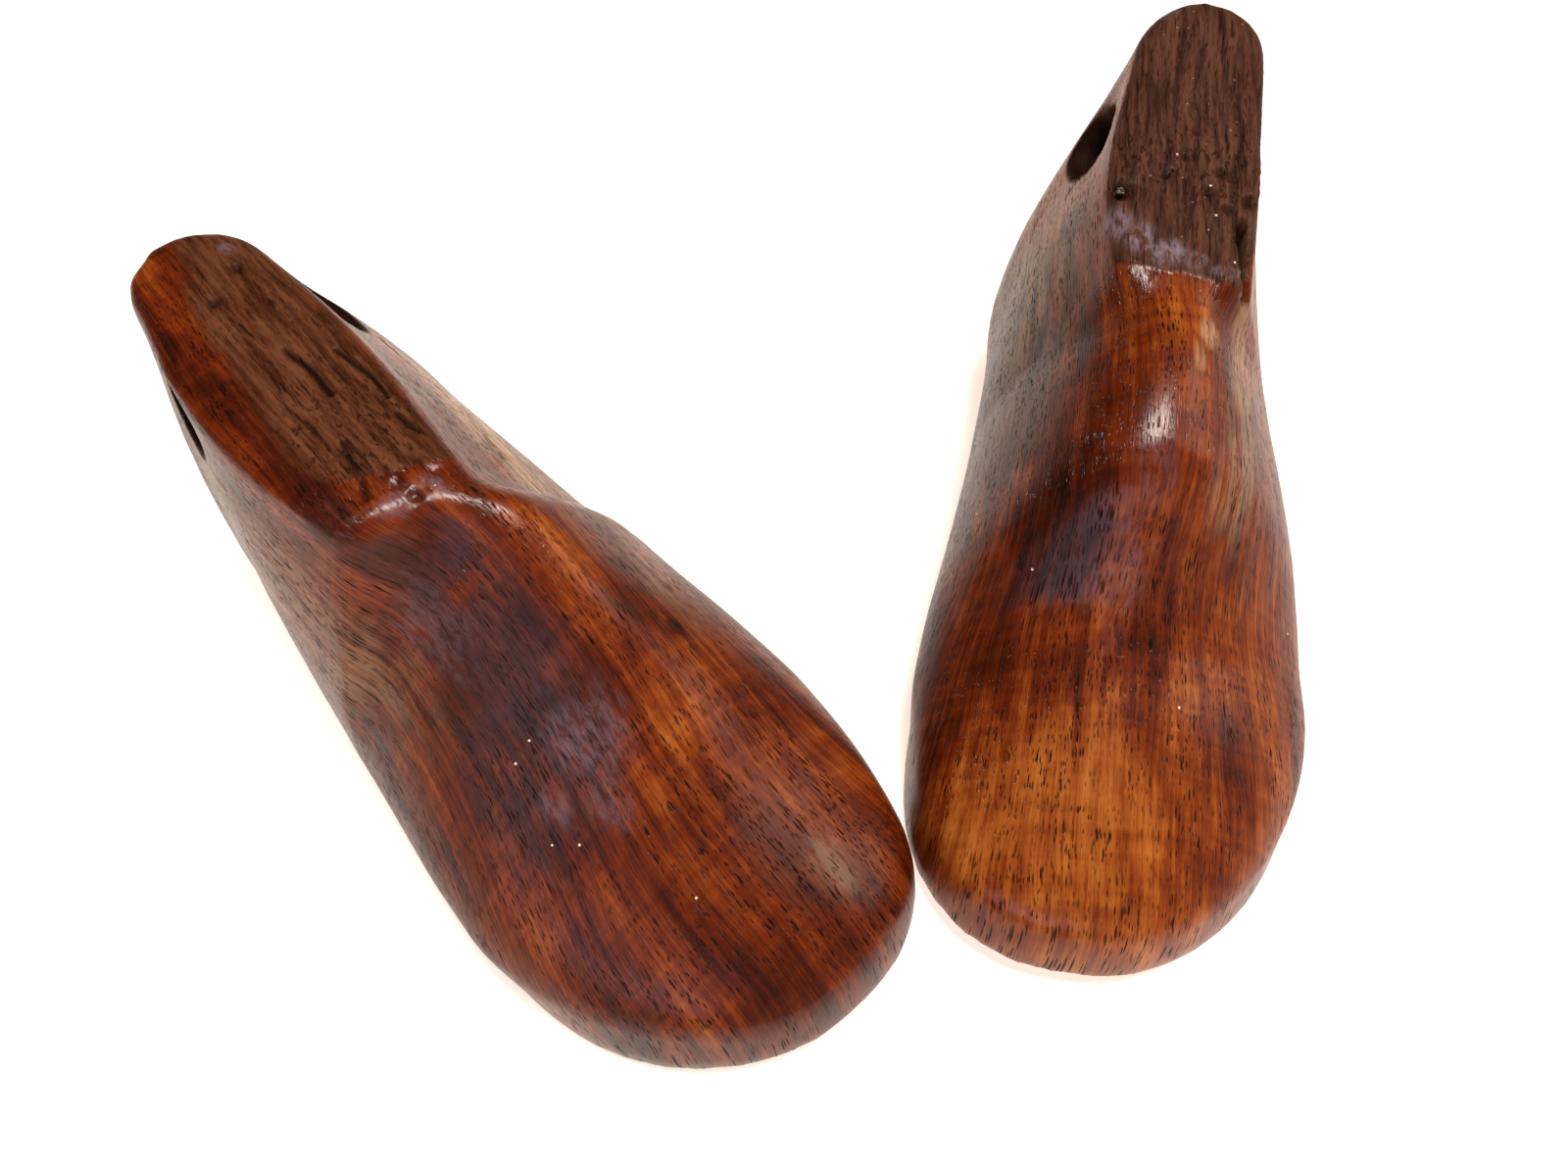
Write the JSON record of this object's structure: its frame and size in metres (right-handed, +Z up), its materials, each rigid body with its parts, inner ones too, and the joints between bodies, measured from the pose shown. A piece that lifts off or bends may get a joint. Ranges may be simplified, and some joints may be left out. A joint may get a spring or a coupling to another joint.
{
  "type": "pair of shoe lasts",
  "caption": "Pair of small solid wooden shoe lasts, left and right foot, each with a flat-topped cone, instep ridge, low toe and a slanting hole through the cone.",
  "frame": {"origin": "centre of the pair's bounding box, on the floor under the soles", "axes": "+Z up from the soles; +X roughly along the right-foot last from heel to toe; the left-foot last's toe points towards -Y and a little +X"},
  "size_m": [0.1694, 0.163, 0.065],
  "materials": {
    "left_last_wood": "red-brown stained hardwood under an old worn satin varnish",
    "right_last_wood": "red-brown stained hardwood under an old satin varnish",
    "brad_steel": "old steel with a worn bright head"
  },
  "bodies": {
    "left_last": {"left_foot_last": "left_last_wood", "left_foot_brad": "brad_steel"},
    "right_last": {"right_foot_last": "right_last_wood"}
  },
  "joints": [
    {"name": "right_foot_lift", "type": "slide", "parent": "left_last", "child": "right_last", "axis": [0, 0, 1], "range_m": [0, 0.08]}
  ]
}
